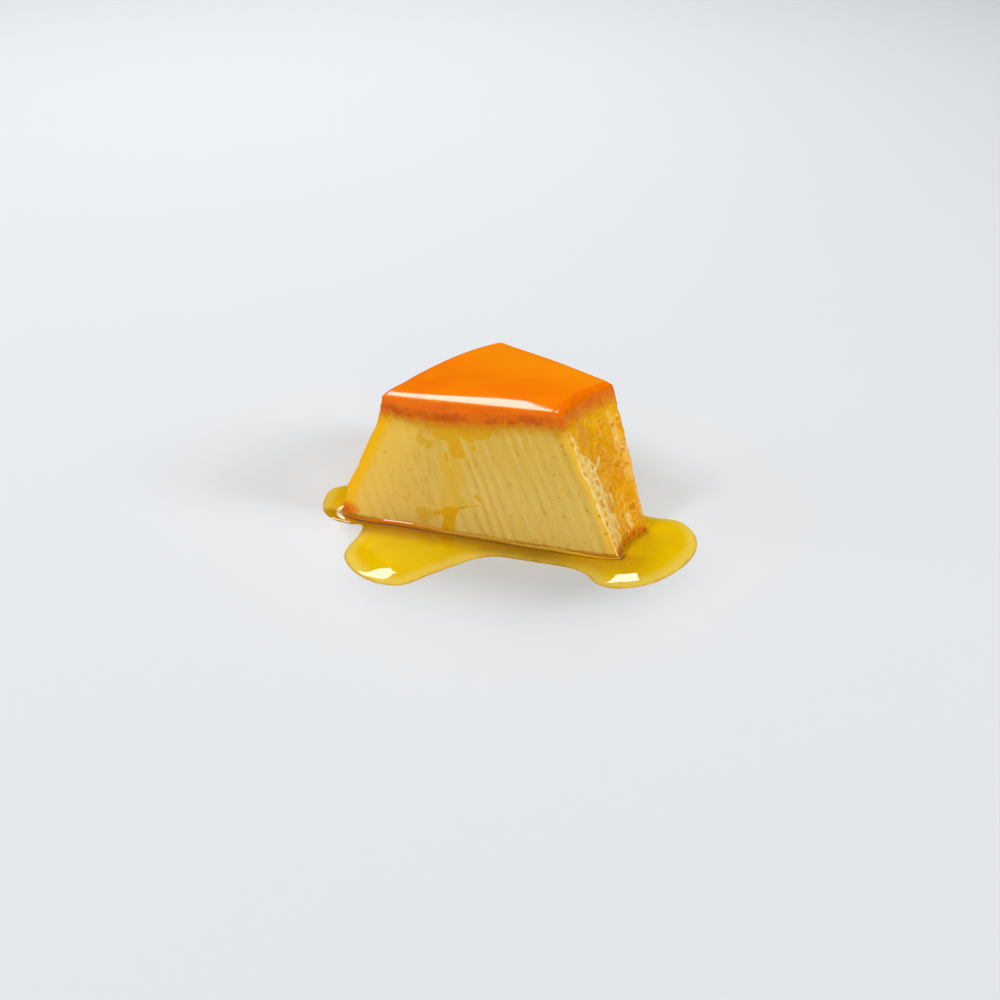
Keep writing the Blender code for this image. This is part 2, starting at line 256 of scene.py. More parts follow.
# The syrup's surface: it rises steeply at its rim, then gently, and lies lower near the custard's foot
RIM_RISE = 0.8 * MM
RIM_REACH = 0.7 * MM
BODY_RISE = 1.7 * MM
BODY_REACH = 6.5 * MM
BODY_POWER = 1.8
FRONT_LEVEL = 0.28
INNER_LEVEL = 0.45
OUTER_LEVEL = 0.75
LEVEL_REACH = 9.0 * MM
POOL_SPACING = 0.95 * MM
RIM_INSETS_MM = (0.15, 0.35, 0.6, 0.9, 1.3, 1.8, 2.4)

# The film of syrup that climbs the custard's foot: the height at which it ends for each radius in front, both
# in mm, and how far it climbs elsewhere, how thick it is in front, thinning out between these radii, and
# elsewhere, and how far it reaches on the pool and into the custard
FILM_TOP = (
    (36.0, 0.9), (51.0, 1.7), (65.0, 1.6), (71.0, 2.0), (88.0, 2.0), (104.0, 2.7), (112.0, 2.5), (117.0, 1.3),
    (124.0, 0.9),
)
FILM_CLIMB = 0.2 * MM
FRONT_FILM = 0.42 * MM
FRONT_FILM_ENDS_MM = (119.0, 112.0)
OTHER_FILM = 0.12 * MM
FILM_FOOT = 0.18 * MM
FILM_HIDDEN = 0.35 * MM

# The height of the film's round lip as a share of its thickness
FILM_LIP = 1.13

# The film's section from its foot up: its distance from the custard, as a share of its thickness and how much
# beyond that, and the shares of its upright part and of its round lip that lie below
FILM_SECTION = (
    (1.0, 0.10 * MM, 0.05, 0.0), (1.0, 0.03 * MM, 0.20, 0.0), (1.0, 0.0, 0.45, 0.0), (1.0, 0.0, 0.80, 0.0),
    (1.0, 0.0, 1.0, 0.0), (0.90, 0.0, 1.0, 0.12), (0.50, 0.0, 1.0, 0.53), (0.12, 0.0, 1.0, 0.92),
)

# Over how many neighbours on each side the film's thickness and top are evened out
EVENING_REACH = 6

# The lights, as azimuth from the camera's forward direction, elevation, distance and size, then the radiance
# of those that the gloss mirrors and the power of those that it doesn't
LIGHT_AIM = Vector((-0.085, 0.0, 0.02))
MIRRORED_LIGHTS = (
    ("strip", -5.3, 32.5, 1.5, (0.18, 0.29), 9.0),
    ("strip_end", -0.6, 34.5, 1.5, (0.014, 0.18), 12.0),
    ("window", -18.0, 47.7, 1.3, (1.1, 0.21), 10.5),
    ("front_left", -125.0, 50.0, 1.2, (0.26, 0.34), 14.5),
    ("right", 108.0, 32.0, 1.1, (0.36, 0.36), 12.0),
)
FILL_LIGHTS = (
    ("front_fill", 180.0, 30.0, 1.6, (1.2, 0.8), 8.3),
    ("back_fill", -10.0, 45.0, 1.3, (1.0, 0.4), 3.4),
    ("left_fill", -100.0, 25.0, 1.4, (0.8, 0.6), 3.0),
)

# Half the floor's width
FLOOR_REACH = 4.0


def display(red, green, blue):
    """A linear colour from the 0 to 255 values that a screen shows."""
    values = [v / 255.0 for v in (red, green, blue)]
    linear = [v / 12.92 if v <= 0.04045 else ((v + 0.055) / 1.055) ** 2.4 for v in values]
    return (*linear, 1.0)


def smooth_step(value, low, high):
    """A smooth rise from 0 at low to 1 at high."""
    share = np.clip((value - low) / (high - low), 0.0, 1.0)
    return share * share * (3.0 - 2.0 * share)


def lattice_noise(points, size, seed):
    """Smooth random values from -1 to 1 that change over this size."""
    cells = 64
    table = np.random.default_rng(seed).uniform(-1.0, 1.0, (cells, cells, cells))
    scaled = np.asarray(points, float) / size + 1000.0
    low = np.floor(scaled).astype(int)
    share = scaled - low
    share = share ** 3 * (share * (share * 6.0 - 15.0) + 10.0)
    total = np.zeros(len(scaled))
    for corner in range(8):
        bits = np.array([corner & 1, corner >> 1 & 1, corner >> 2 & 1])
        index = (low + bits) % cells
        weight = np.prod(np.where(bits, share, 1.0 - share), axis=1)
        total += weight * table[index[:, 0], index[:, 1], index[:, 2]]
    return total


def layered_noise(points, size, seed, octaves=3):
    """Noise with finer noise added, each half as large and half as strong."""
    total = np.zeros(len(points))
    for octave in range(octaves):
        total += lattice_noise(points, size / 2 ** octave, seed + octave) / 2 ** octave
    return total


def waves(points, kinds):
    """Relief made of these kinds of waves."""
    total = np.zeros(len(points))
    for height_mm, size_mm, seed, octaves in kinds:
        total += height_mm * MM * layered_noise(points, size_mm * MM, seed, octaves)
    return total


def closed_curve(points, steps):
    """Points on the closed Catmull-Rom curve through these, this many for each span."""
    knots = np.array(points, float)[:, None, :]
    before, after, beyond = (np.roll(knots, k, axis=0) for k in (1, -1, -2))
    t = (np.arange(steps) / steps)[None, :, None]
    curve = 0.5 * (
        2.0 * knots
        + (after - before) * t
        + (2.0 * before - 5.0 * knots + 4.0 * after - beyond) * t ** 2
        + (3.0 * knots - before - 3.0 * after + beyond) * t ** 3
    )
    return curve.reshape(-1, 2)


def stroke_depth(points, strokes):
    """How far inside the nearest stroke each point lies, less than 0 outside."""
    inside = np.full(len(points), OUTSIDE_MM)
    for start, end, half_width in strokes:
        start, end = np.array(start), np.array(end)
        run = end - start
        share = np.clip((points - start) @ run / (run @ run), 0.0, 1.0)
        gap = np.linalg.norm(points - start - share[:, None] * run, axis=1)
        inside = np.maximum(inside, half_width - gap)
    return inside


def distances_to(points, loop):
    """Each point's distance to a closed loop of points."""
    run = np.roll(loop, -1, axis=0) - loop
    best = np.full(len(points), np.inf)
    for first in range(0, len(loop), 64):
        start, step = loop[first:first + 64], run[first:first + 64]
        gap = points[:, None, :] - start[None]
        share = np.clip(np.sum(gap * step, axis=2) / np.sum(step * step, axis=1), 0.0, 1.0)
        best = np.minimum(best, np.min(np.linalg.norm(gap - share[..., None] * step, axis=2), axis=1))
    return best


def inside_loop(points, loop):
    """Whether each point lies inside the closed loop."""
    x, y = points[:, 0], points[:, 1]
    inside = np.zeros(len(points), bool)
    for (ax, ay), (bx, by) in zip(loop, np.roll(loop, -1, axis=0)):
        if ay != by:
            inside ^= ((ay > y) != (by > y)) & (x < ax + (bx - ax) * (y - ay) / (by - ay))
    return inside


def outline_depth(points, outlines):
    """How far inside the nearest of these outlines each point lies, less than 0 outside."""
    inside = np.full(len(points), OUTSIDE_MM)
    for outline in outlines:
        loop = closed_curve(outline, 4)
        gap = distances_to(points, loop)
        inside = np.maximum(inside, np.where(inside_loop(points, loop), gap, -gap))
    return inside


def across_pairs(value, pairs):
    """The second number of these pairs, read off at this value of the first."""
    return np.interp(value, *zip(*pairs))


def smooth_pairs(height, pairs_mm):
    """The distance that belongs to this height, read off these pairs and eased between them."""
    total = np.full(np.shape(height), pairs_mm[0][1])
    for (low, before), (high, after) in zip(pairs_mm, pairs_mm[1:]):
        total = total + (after - before) * smooth_step(height / MM, low, high)
    return total * MM


def wall_radii(height):
    """The mould's inner and outer radius at this height above the foot."""
    inner = INNER_RADIUS_FOOT + (INNER_RADIUS_TOP - INNER_RADIUS_FOOT) * height / HEIGHT_INNER
    outer = OUTER_RADIUS_FOOT + (OUTER_RADIUS_TOP - OUTER_RADIUS_FOOT) * height / HEIGHT_OUTER
    return inner, outer - smooth_pairs(height, OUTER_INSETS_MM)


def top_line(along):
    """The height of the top's edge at this share along the slice."""
    return HEIGHT_INNER + (HEIGHT_OUTER - HEIGHT_INNER) * along


def rounded(across, below, radius):
    """Distances to a square corner's two sides, once it has been rounded to this radius."""
    inward = np.clip(1.0 - across / radius, 0.0, 1.0)
    rise = np.clip(1.0 - below / radius, 0.0, 1.0)
    within = (inward > 0.0) & (rise > 0.0)
    moved_across = radius * (1.0 - inward * np.sqrt(1.0 - 0.5 * rise ** 2))
    moved_below = radius * (1.0 - rise * np.sqrt(1.0 - 0.5 * inward ** 2))
    return np.where(within, moved_across, across), np.where(within, moved_below, below)


def sag_of(along, height, bulge, at_inner):
    """How far a cut face stands proud of its plane, and the share of it that is left at the inner wall."""
    even = np.linspace(0.0, 1.0, 400)
    share = np.interp(along, even - SOLID_CROWDING * np.sin(2.0 * math.pi * even), even)
    level = np.clip(height / HEIGHT_INNER, 0.0, 1.0)
    lost = np.where(share < 0.5, 1.0 - at_inner, 1.0) * np.abs(2.0 * share - 1.0) ** SAG_SQUARENESS
    return bulge * (1.0 - level) ** SAG_FADE * (1.0 - lost)


def top_lift(along, turn, width, from_cut):
    """How far the glaze stands above the top's line: domed, with a step where its film ends."""
    lift = DOME_HEIGHT * (1.0 - np.exp(-from_cut / DOME_REACH))
    lift -= FILM_STEP * smooth_step(FILM_END - along * width, -0.3 * MM, 0.3 * MM)
    return lift - OUTER_DROP * smooth_step(along, 0.4, 1.0) * smooth_step(turn, -1.0, 0.1)


def inner_inset(turn, height):
    """How far the inner wall is set in from its cone, and below 0 where it flares out."""
    low, middle, high = INNER_HOLLOW_HEIGHTS
    hollow = smooth_step(height, low, middle) * (1.0 - 0.5 * smooth_step(height, high, HEIGHT_INNER))
    flare = np.clip(1.0 - height / HEIGHT_INNER, 0.0, 1.0) ** FLARE_POWER
    flare = flare * (FLARE_SHARE_BEHIND + (1.0 - FLARE_SHARE_BEHIND) * smooth_step(-turn, -0.2, 1.0))
    return INNER_HOLLOW * hollow * smooth_step(-turn, 0.5, 1.0) - INNER_FLARE * flare


def slice_points(along, turn, below):
    """Points of the slice's surface, with its corners and edges rounded and its cuts sagging."""
    top = top_line(along)
    inner, outer = wall_radii(top - below)
    width = outer - inner
    radius = inner + along * width
    near_outer = along > 0.5
    from_wall = np.where(near_outer, 1.0 - along, along) * width
    from_cut = (1.0 - np.abs(turn)) * HALF_ANGLE * radius
    lift = top_lift(along, turn, width, from_cut) * np.clip(1.0 - below / LAYER_THICKNESS, 0.0, 1.0)
    from_wall, from_cut = rounded(from_wall, from_cut, UPRIGHT_EDGE)
    outer_shoulder = FRONT_SHOULDER + (OUTER_SHOULDER - FRONT_SHOULDER) * smooth_step(turn, -1.0, -0.5)
    from_wall, below = rounded(from_wall, below, np.where(near_outer, outer_shoulder, INNER_SHOULDER))
    from_cut, below = rounded(from_cut, below, LIP)
    along = np.where(near_outer, 1.0 - from_wall / width, from_wall / width)
    turn = np.sign(turn) * (1.0 - from_cut / (HALF_ANGLE * radius))
    height = top - below
    inner, outer = wall_radii(height)
    inner = inner + inner_inset(turn, height)
    radius = inner + (outer - inner) * along
    angle = turn * HALF_ANGLE
    points = np.stack([-radius * np.cos(angle), radius * np.sin(angle), height + lift], axis=-1)
    front_sag = sag_of(along, height, FRONT_BULGE, INNER_SAG)
    sag = np.where(turn < 0.0, front_sag, sag_of(along, height, BACK_BULGE, 0.0))
    sag = sag * smooth_step(np.abs(turn), 0.5, 1.0)
    points[..., 0] += sag * math.sin(HALF_ANGLE)
    points[..., 1] += sag * np.sign(turn) * math.cos(HALF_ANGLE)
    return points


def crowded(count, closed=False):
    """Shares from 0 to 1, closer together at both ends."""
    share = np.linspace(0.0, 1.0, count + 1)
    share = share - EDGE_CROWDING * np.sin(2.0 * math.pi * share)
    return share if closed else share[:-1]


def ring_shares():
    """Shares along and of the turn round the slice, anticlockwise from the front cut's outer edge, and each
    one's side: 0 the front cut, 1 the inner wall, 2 the back cut, 3 the outer wall."""
    cut, wall = crowded(CUT_COLUMNS), crowded(WALL_COLUMNS) * 2.0 - 1.0
    along = np.concatenate([1.0 - cut, np.zeros(WALL_COLUMNS), cut, np.ones(WALL_COLUMNS)])
    turn = np.concatenate([-np.ones(CUT_COLUMNS), wall, np.ones(CUT_COLUMNS), -wall])
    side = np.repeat(np.arange(4), (CUT_COLUMNS, WALL_COLUMNS, CUT_COLUMNS, WALL_COLUMNS))
    return along, turn, side


def ring_quads(rows, columns):
    """Quads of a stack of closed rings, from the lowest up."""
    row, column = np.meshgrid(np.arange(rows - 1), np.arange(columns), indexing="ij")
    following = (column + 1) % columns
    low, high = row * columns, (row + 1) * columns
    quads = np.stack([low + column, low + following, high + following, high + column], axis=-1)
    return quads.reshape(-1, 4).tolist()


def new_mesh(name, points, faces):
    """A mesh of these points, given from the mould's axis."""
    mesh = bpy.data.meshes.new(name)
    mesh.from_pydata((points + np.array(MOULD_AXIS)).tolist(), [], faces)
    mesh.update()
    return mesh


def side_normals(points, along, turn, below):
    """Unit normals of the slice's sides at the points of whole rings."""
    step = 0.05 * MM
    around = np.roll(points, -1, axis=1) - np.roll(points, 1, axis=1)
    rise = slice_points(along, turn, np.maximum(below - step, 0.0)) - slice_points(along, turn, below + step)
    normals = np.cross(around, rise)
    return normals / np.linalg.norm(normals, axis=-1, keepdims=True)


def add_object(name, data):
    """A new object in the scene."""
    made = bpy.data.objects.new(name, data)
    bpy.context.scene.collection.objects.link(made)
    return made


def finish_piece(mesh, values, material, *sharp_rings):
    """Makes the mesh an object, with the values that its material reads and sharp edges along these rings."""
    ends = np.empty((len(mesh.edges), 2), int)
    mesh.edges.foreach_get("vertices", ends.ravel())
    marked = np.any([np.isin(ends, ring).all(axis=1) for ring in sharp_rings], axis=0)
    mesh.attributes.new("sharp_edge", "BOOLEAN", "EDGE").data.foreach_set("value", marked)
    for key, numbers in values.items():
        layer = mesh.attributes.new(key, "FLOAT", "POINT")
        layer.data.foreach_set("value", np.asarray(numbers, np.float32))
    mesh.shade_smooth()
    mesh.materials.append(material)
    return add_object(mesh.name, mesh)


def wall_point(wall, turn, height):
    """A point on the inner wall, 0, or the outer wall, 1, at this share of the turn and this height."""
    along = np.array(float(wall))
    return slice_points(along, np.array(turn), top_line(along) - height)


def scattered_pores(rng, taken, count, sizes_mm, turns, heights_mm, wall, apart):
    """More pores on a wall, none closer to another than their sizes times this."""
    found = []
    for _ in range(count * 15):
        place = wall_point(wall, rng.uniform(*turns), rng.uniform(*heights_mm) * MM)
        size = (sizes_mm[0] + (sizes_mm[1] - sizes_mm[0]) * rng.uniform() ** 2) * MM
        if all(np.linalg.norm(place - other) > (size + wide) * apart for other, wide in taken + found):
            found.append((place, size))
        if len(found) == count:
            break
    return found


def pore_places():
    """Every pore: those seen in the front cut and the inner wall, and smaller ones scattered on the walls."""
    rng = np.random.default_rng(PORE_SEED)
    pores = []
    for degrees, height_mm, size_mm in WALL_PORES:
        pores.append((wall_point(0, math.radians(degrees) / HALF_ANGLE, height_mm * MM), size_mm * MM))
    for radius_mm, height_mm, size_mm in FACE_PORES_MM:
        height = height_mm * MM
        inner, outer = wall_radii(height)
        along = np.array((radius_mm * MM - inner) / (outer - inner))
        pores.append((slice_points(along, np.array(-1.0), top_line(along) - height), size_mm * MM))
    for kind in SCATTERED_PORES:
        pores += scattered_pores(rng, pores, *kind)
    return pores


def pits(points, pores):
    """Each point's depth in a pore, from 0 to 1, that pore's size, and how far it is on a raised rim."""
    depth, size_here, rim = (np.zeros(len(points)) for _ in range(3))
    uneven = 0.30 * layered_noise(points, 1.4 * MM, 91, 2)
    for place, size in pores:
        near = np.flatnonzero(np.max(np.abs(points - place), axis=1) < 2.0 * size)
        gap = np.linalg.norm(points[near] - place, axis=1) / size * (1.0 + uneven[near])
        here = np.clip(1.0 - gap ** 2, 0.0, 1.0) ** 0.6
        deeper = here > depth[near]
        depth[near[deeper]] = here[deeper]
        size_here[near[deeper]] = size
        rim[near] = np.maximum(rim[near], np.exp(-((gap - 1.15) / 0.22) ** 2))
    return depth, size_here, rim


def streak_wave(radius, height, seed):
    """The knife's ridges on a cut face, from -1 to 1: leaning, uneven, and about one pitch apart."""
    across = radius - STREAK_LEAN * height
    flat = np.stack([across, height * 0.15, np.zeros_like(across)], axis=1)
    wander = lattice_noise(flat, 11.0 * MM, seed) * 2.4
    strength = 0.65 + 0.35 * lattice_noise(flat, 9.0 * MM, seed + 1)
    fine = lattice_noise(flat, 1.1 * MM, seed + 2)
    return strength * np.sin(2.0 * math.pi * across / STREAK_PITCH + wander) + 0.18 * fine


def wall_strokes(strokes):
    """Strokes given by turn and height on the inner wall, with the turn as mm along the wall."""
    placed = []
    for *ends, half_width in strokes:
        flat = [(math.radians(turn) * wall_radii(height * MM)[0] / MM, height) for turn, height in ends]
        placed.append((*flat, half_width))
    return placed


def side_places(along, turn, below, side):
    """Where the points of the slice's sides lie, with how near each wall is, from 0 to 1."""
    height = top_line(along) - below
    inner, outer = wall_radii(height)
    width = outer - inner
    to_inner, to_outer = along * width, (1.0 - along) * width
    on_front, on_inner, on_back, on_outer = (side == k for k in range(4))
    on_cut = on_front | on_back
    return SimpleNamespace(
        turn=turn, degrees=np.degrees(turn * HALF_ANGLE), below=below, height=height,
        radius=inner + along * width, to_inner=to_inner, to_outer=to_outer,
        on_front=on_front, on_inner=on_inner, on_outer=on_outer, on_cut=on_cut,
        near_inner=np.where(on_inner, 1.0, np.where(on_cut, np.exp(-to_inner / CORNER_REACH), 0.0)),
        near_outer=np.where(on_outer, 1.0, np.where(on_cut, np.exp(-to_outer / CORNER_REACH), 0.0)),
        in_custard=smooth_step(below - LAYER_THICKNESS, 0.0, 1.2 * MM),
    )


def add_knife_marks(at):
    """Adds the knife's ridges, from -1 to 1, and its dashes, from 0 to 1."""
    at.streak = np.where(at.on_cut, streak_wave(at.radius, at.height, 21), 0.0) * at.in_custard
    wide, long = DASH_SIZE_MM
    across = at.radius - STREAK_LEAN * at.height
    marks = np.stack([across / wide, at.height / long, np.zeros_like(across)], axis=1)
    at.dash = np.where(at.on_cut, smooth_step(lattice_noise(marks, MM, 45), 0.30, 0.75), 0.0) * at.in_custard


def add_syrup_marks(at):
    """Adds how far inside the syrup's drips, washes and stains on the front cut each point lies, in mm."""
    face_mm = np.stack([at.radius, at.height], axis=1) / MM
    drips = np.maximum(outline_depth(face_mm, DRIPS_MM), stroke_depth(face_mm, RUNS_MM))
    at.film = np.where(at.on_front, drips, OUTSIDE_MM) + 0.25 * at.ragged
    at.wash = np.where(at.on_front, outline_depth(face_mm, WASHES_MM), OUTSIDE_MM) + 0.8 * at.ragged
    at.stain = np.where(at.on_front, outline_depth(face_mm, STAINS_MM), OUTSIDE_MM)


def add_wall_marks(at):
    """Adds how far inside the inner wall's pale places, which also carry a painted sheen, and its
    peach-coloured places each point lies, in mm.
    """
    height_mm, radius_mm = at.height / MM, at.radius / MM
    wall_mm = np.stack([at.turn * HALF_ANGLE * radius_mm, height_mm], axis=1)
    cream = np.radians(across_pairs(height_mm, CREAM_END) - at.degrees) * radius_mm
    cream = np.maximum(cream, stroke_depth(wall_mm, wall_strokes(CREAM_STROKES)))
    cream = np.where(at.on_inner, cream, OUTSIDE_MM)
    spill_and_sheen = 0.5 - at.to_inner / MM - np.where(height_mm > 31.0, 9.0, 0.0)
    at.cream = np.where(at.on_front, np.maximum(cream, spill_and_sheen), cream) + 0.5 * at.ragged
    peach = stroke_depth(wall_mm, wall_strokes(PEACH_STROKES))
    at.peach = np.where(at.on_inner, peach, OUTSIDE_MM) + 0.4 * at.ragged


def side_relief(points, at):
    """How far the slice's sides stand out from their smooth form."""
    inside_cut = smooth_step(np.minimum(at.to_inner, at.to_outer), 0.0, 4.0 * MM) * at.on_cut
    relief = at.streak * STREAK_HEIGHT - at.dash * DASH_DEPTH + waves(points, CUT_WAVES)
    relief = relief * inside_cut + waves(points, GRAIN_WAVES)
    towards_back = smooth_step(at.turn, 0.4, 0.9)
    relief += at.near_inner * (waves(points, INNER_WAVES) + towards_back * waves(points, INNER_BACK_WAVES))
    relief += at.near_outer * waves(points, OUTER_WAVES)
    in_crust = smooth_step(at.below, 1.2 * MM, 2.6 * MM) * (1.0 - at.in_custard)
    relief += in_crust * (1.0 - 0.7 * at.near_inner) * waves(points, CRUST_WAVES)
    relief += PORE_RIM * at.rim - PORE_DEPTH * at.pit * at.pit_size
    relief += FILM_DEPTH * smooth_step(np.maximum(at.film, at.wash - 1.2), -0.15, 0.6)
    relief += np.exp(-at.height / FOOT_REACH) * waves(points, FOOT_WAVES)
    return relief * smooth_step(at.below, 0.0, 1.2 * MM)


def side_surface(along, turn, below, side):
    """The finished points of the slice's sides, given whole rings, and the values that the materials read."""
    points = slice_points(along, turn, below)
    normals = side_normals(points, along, turn, below).reshape(-1, 3)
    points = points.reshape(-1, 3)
    at = side_places(along.ravel(), turn.ravel(), below.ravel(), side.ravel())
    at.ragged = layered_noise(points, 2.4 * MM, 71, 2)
    at.pit, at.pit_size, at.rim = pits(points, pore_places())
    add_knife_marks(at)
    add_syrup_marks(at)
    add_wall_marks(at)
    points = points + normals * side_relief(points, at)[:, None]
    points[:, 2] = np.where(at.height <= 1e-9, 0.0, np.maximum(points[:, 2], 0.02 * MM))

    cut_edge = across_pairs(at.radius / MM, CUT_EDGE)
    wall_edge = across_pairs(at.degrees, WALL_EDGE)
    edge_mm = np.where(at.on_cut, cut_edge, np.where(at.on_outer, OUTER_EDGE_MM, wall_edge))
    values = {
        "outer_gap": np.where(at.on_inner, OUT_OF_REACH_MM, at.to_outer / MM),
        "inner_gap": np.where(at.on_outer, OUT_OF_REACH_MM, at.to_inner / MM),
        "height": at.height / MM,
        "below": at.below / MM,
        "above_edge": at.height / MM - edge_mm + 0.35 * at.ragged,
        "rim": at.rim * (1.0 - np.minimum(at.pit * 4.0, 1.0)),
    }
    for name in (
        "turn", "on_front", "on_inner", "streak", "dash", "film", "wash", "stain", "cream", "peach", "pit",
    ):
        values[name] = getattr(at, name)
    return points, values


def make_custard(material):
    """The custard: sagging cut faces with knife marks and drips, and pored walls."""
    along, turn, side = ring_shares()
    columns = len(along)
    rise = np.linspace(0.0, 1.0, CUSTARD_ROWS)[:, None]
    below = LAYER_THICKNESS + (top_line(along) - LAYER_THICKNESS)[None, :] * (1.0 - rise)
    points, values = side_surface(*np.broadcast_arrays(along, turn, below, side))
    faces = ring_quads(CUSTARD_ROWS, columns)
    faces.append(list(range(columns))[::-1])
    last = range((CUSTARD_ROWS - 1) * columns, CUSTARD_ROWS * columns)
    faces.append(list(last))
    return finish_piece(new_mesh("custard_slice", points, faces), values, material, range(columns), last)


def top_numbers(columns):
    """The point numbers of the layer's top grid: its edge is the sides' last ring, its inside follows it."""
    number = np.empty((CUT_COLUMNS + 1, WALL_COLUMNS + 1), int)
    inside = np.arange((CUT_COLUMNS - 1) * (WALL_COLUMNS - 1))
    number[1:-1, 1:-1] = LAYER_ROWS * columns + inside.reshape(CUT_COLUMNS - 1, WALL_COLUMNS - 1)
    loop = (LAYER_ROWS - 1) * columns + np.append(np.arange(columns), 0)
    ends = np.cumsum([0, CUT_COLUMNS, WALL_COLUMNS, CUT_COLUMNS, WALL_COLUMNS])
    number[::-1, 0] = loop[ends[0]:ends[1] + 1]
    number[0, :] = loop[ends[1]:ends[2] + 1]
    number[:, -1] = loop[ends[2]:ends[3] + 1]
    number[-1, ::-1] = loop[ends[3]:ends[4] + 1]
    return number


def make_caramel_layer(material):
    """The caramel layer: cut sides with a rough crust, rounded shoulders, and the glazed top."""
    along, turn, side = ring_shares()
    columns = len(along)
    levels = np.linspace(1.0, 0.0, LAYER_ROWS)[:, None] * LAYER_THICKNESS
    side_points, values = side_surface(*np.broadcast_arrays(along, turn, levels, side))
    number = top_numbers(columns)
    top_quads = np.stack([number[:-1, :-1], number[:-1, 1:], number[1:, 1:], number[1:, :-1]], axis=-1)
    faces = ring_quads(LAYER_ROWS, columns) + top_quads.reshape(-1, 4).tolist()
    faces.append(list(range(columns))[::-1])

    along, turn = np.meshgrid(
        crowded(CUT_COLUMNS, True)[1:-1], crowded(WALL_COLUMNS, True)[1:-1] * 2.0 - 1.0, indexing="ij"
    )
    along, turn = along.ravel(), turn.ravel()
    points = slice_points(along, turn, np.zeros(along.size))
    inner, outer = wall_radii(top_line(along))
    width = outer - inner
    from_cut = (1.0 - np.abs(turn)) * HALF_ANGLE * (inner + along * width)
    from_edge = np.minimum(np.minimum(along, 1.0 - along) * width, from_cut)
    points[:, 2] += waves(points, GLAZE_WAVES) * smooth_step(from_edge, 0.5 * MM, 4.0 * MM)
    tops = {key: np.zeros(along.size) for key in values}
    tops["inner_gap"], tops["outer_gap"] = along * width / MM, (1.0 - along) * width / MM
    tops["turn"] = turn
    values = {key: np.concatenate([numbers, tops[key]]) for key, numbers in values.items()}
    points = np.concatenate([side_points, points])
    return finish_piece(new_mesh("caramel_glaze", points, faces), values, material, range(columns))


def loop_normals(loop):
    """Outward unit normals of an anticlockwise loop of flat points."""
    along = np.roll(loop, -1, axis=0) - np.roll(loop, 1, axis=0)
    normals = np.stack([along[:, 1], -along[:, 0]], axis=1)
    return normals / np.linalg.norm(normals, axis=1, keepdims=True)


def filled_between(flat, outer_count, inner_count, upward):
    """Triangles between two loops, which are the first of these flat points, joined to all the rest."""
    edges = [(k, (k + 1) % outer_count) for k in range(outer_count)]
    edges += [(outer_count + k, outer_count + (k + 1) % inner_count) for k in range(inner_count)]
    placed, _, triangles, _, _, _ = delaunay_2d_cdt([Vector(p) for p in flat], edges, [], 0, 1e-7)
    if len(placed) != len(flat):
        raise RuntimeError("the triangulation changed the points")
    triangles = np.array(triangles)
    centres = flat[triangles].mean(axis=1)
    inner_loop = flat[outer_count:outer_count + inner_count]
    triangles = triangles[inside_loop(centres, flat[:outer_count]) & ~inside_loop(centres, inner_loop)]
    a, b, c = (flat[triangles[:, k]] for k in range(3))
    turn = (b[:, 0] - a[:, 0]) * (c[:, 1] - a[:, 1]) - (b[:, 1] - a[:, 1]) * (c[:, 0] - a[:, 0])
    wrong = turn < 0.0 if upward else turn > 0.0
    triangles[wrong] = triangles[wrong][:, ::-1]
    return triangles


def pool_points(outline, foot, near_foot):
    """Points between the pool's rim and the slice: rings inside the rim, then an even triangular grid."""
    normals = loop_normals(outline)
    rings = []
    for inset in RIM_INSETS_MM:
        ring = (outline - normals * inset * MM)[::2 if inset > 1.0 else 1]
        rings.append(ring[distances_to(ring, outline) > 0.97 * inset * MM])
    low, high = outline.min(axis=0), outline.max(axis=0)
    rows = []
    for index, y in enumerate(np.arange(low[1], high[1], POOL_SPACING * math.sqrt(3.0) / 2.0)):
        x = np.arange(low[0] + (index % 2) * POOL_SPACING / 2.0, high[0], POOL_SPACING)
        rows.append(np.column_stack([x, np.full_like(x, y)]))
    grid = np.concatenate(rows)
    grid = grid[inside_loop(grid, outline)]
    grid = grid[distances_to(grid, outline) > (RIM_INSETS_MM[-1] + 0.4) * MM]
    free = np.concatenate([*rings, grid])
    free = free[~inside_loop(free, near_foot)]
    return free[distances_to(free, near_foot) > 0.5 * MM]


def pool_level(flat, from_rim, from_foot):
    """The height of the syrup's surface at these flat points."""
    level = RIM_RISE * (1.0 - np.exp(-from_rim / RIM_REACH))
    level += BODY_RISE * (1.0 - np.exp(-(from_rim / BODY_REACH) ** BODY_POWER))
    to_front = flat @ FRONT_NORMAL
    outward = smooth_step(np.hypot(flat[:, 0], flat[:, 1]), 60.0 * MM, 100.0 * MM)
    beside = INNER_LEVEL + (OUTER_LEVEL - INNER_LEVEL) * outward
    near = beside + (FRONT_LEVEL - beside) * smooth_step(to_front, -6.0 * MM, 3.0 * MM)
    return level * (1.0 - (1.0 - near) * np.exp(-from_foot / LEVEL_REACH))


def evened(ring):
    """Values round a closed ring, evened out with their neighbours."""
    window = np.hanning(2 * EVENING_REACH + 1)
    wrapped = np.concatenate([ring[-EVENING_REACH:], ring, ring[:EVENING_REACH]])
    return np.convolve(wrapped, window / window.sum(), "valid")


def film_rings(base, top, thick):
    """The film's rings from its foot up, as gap to the custard, height and share climbed, given the heights
    between which it climbs and its thickness round the slice. The last two lie inside the custard."""
    lip = np.minimum(FILM_LIP * thick, 0.6 * (top - base))
    for share, beyond, upright, lipped in FILM_SECTION:
        height = base + (top - base - lip) * upright + lip * lipped
        yield thick * share + beyond, height, 0.6 * upright + 0.4 * lipped
    yield np.full(len(top), -FILM_HIDDEN), top, 1.0
    yield np.full(len(top), -FILM_HIDDEN), np.zeros(len(top)), 1.0


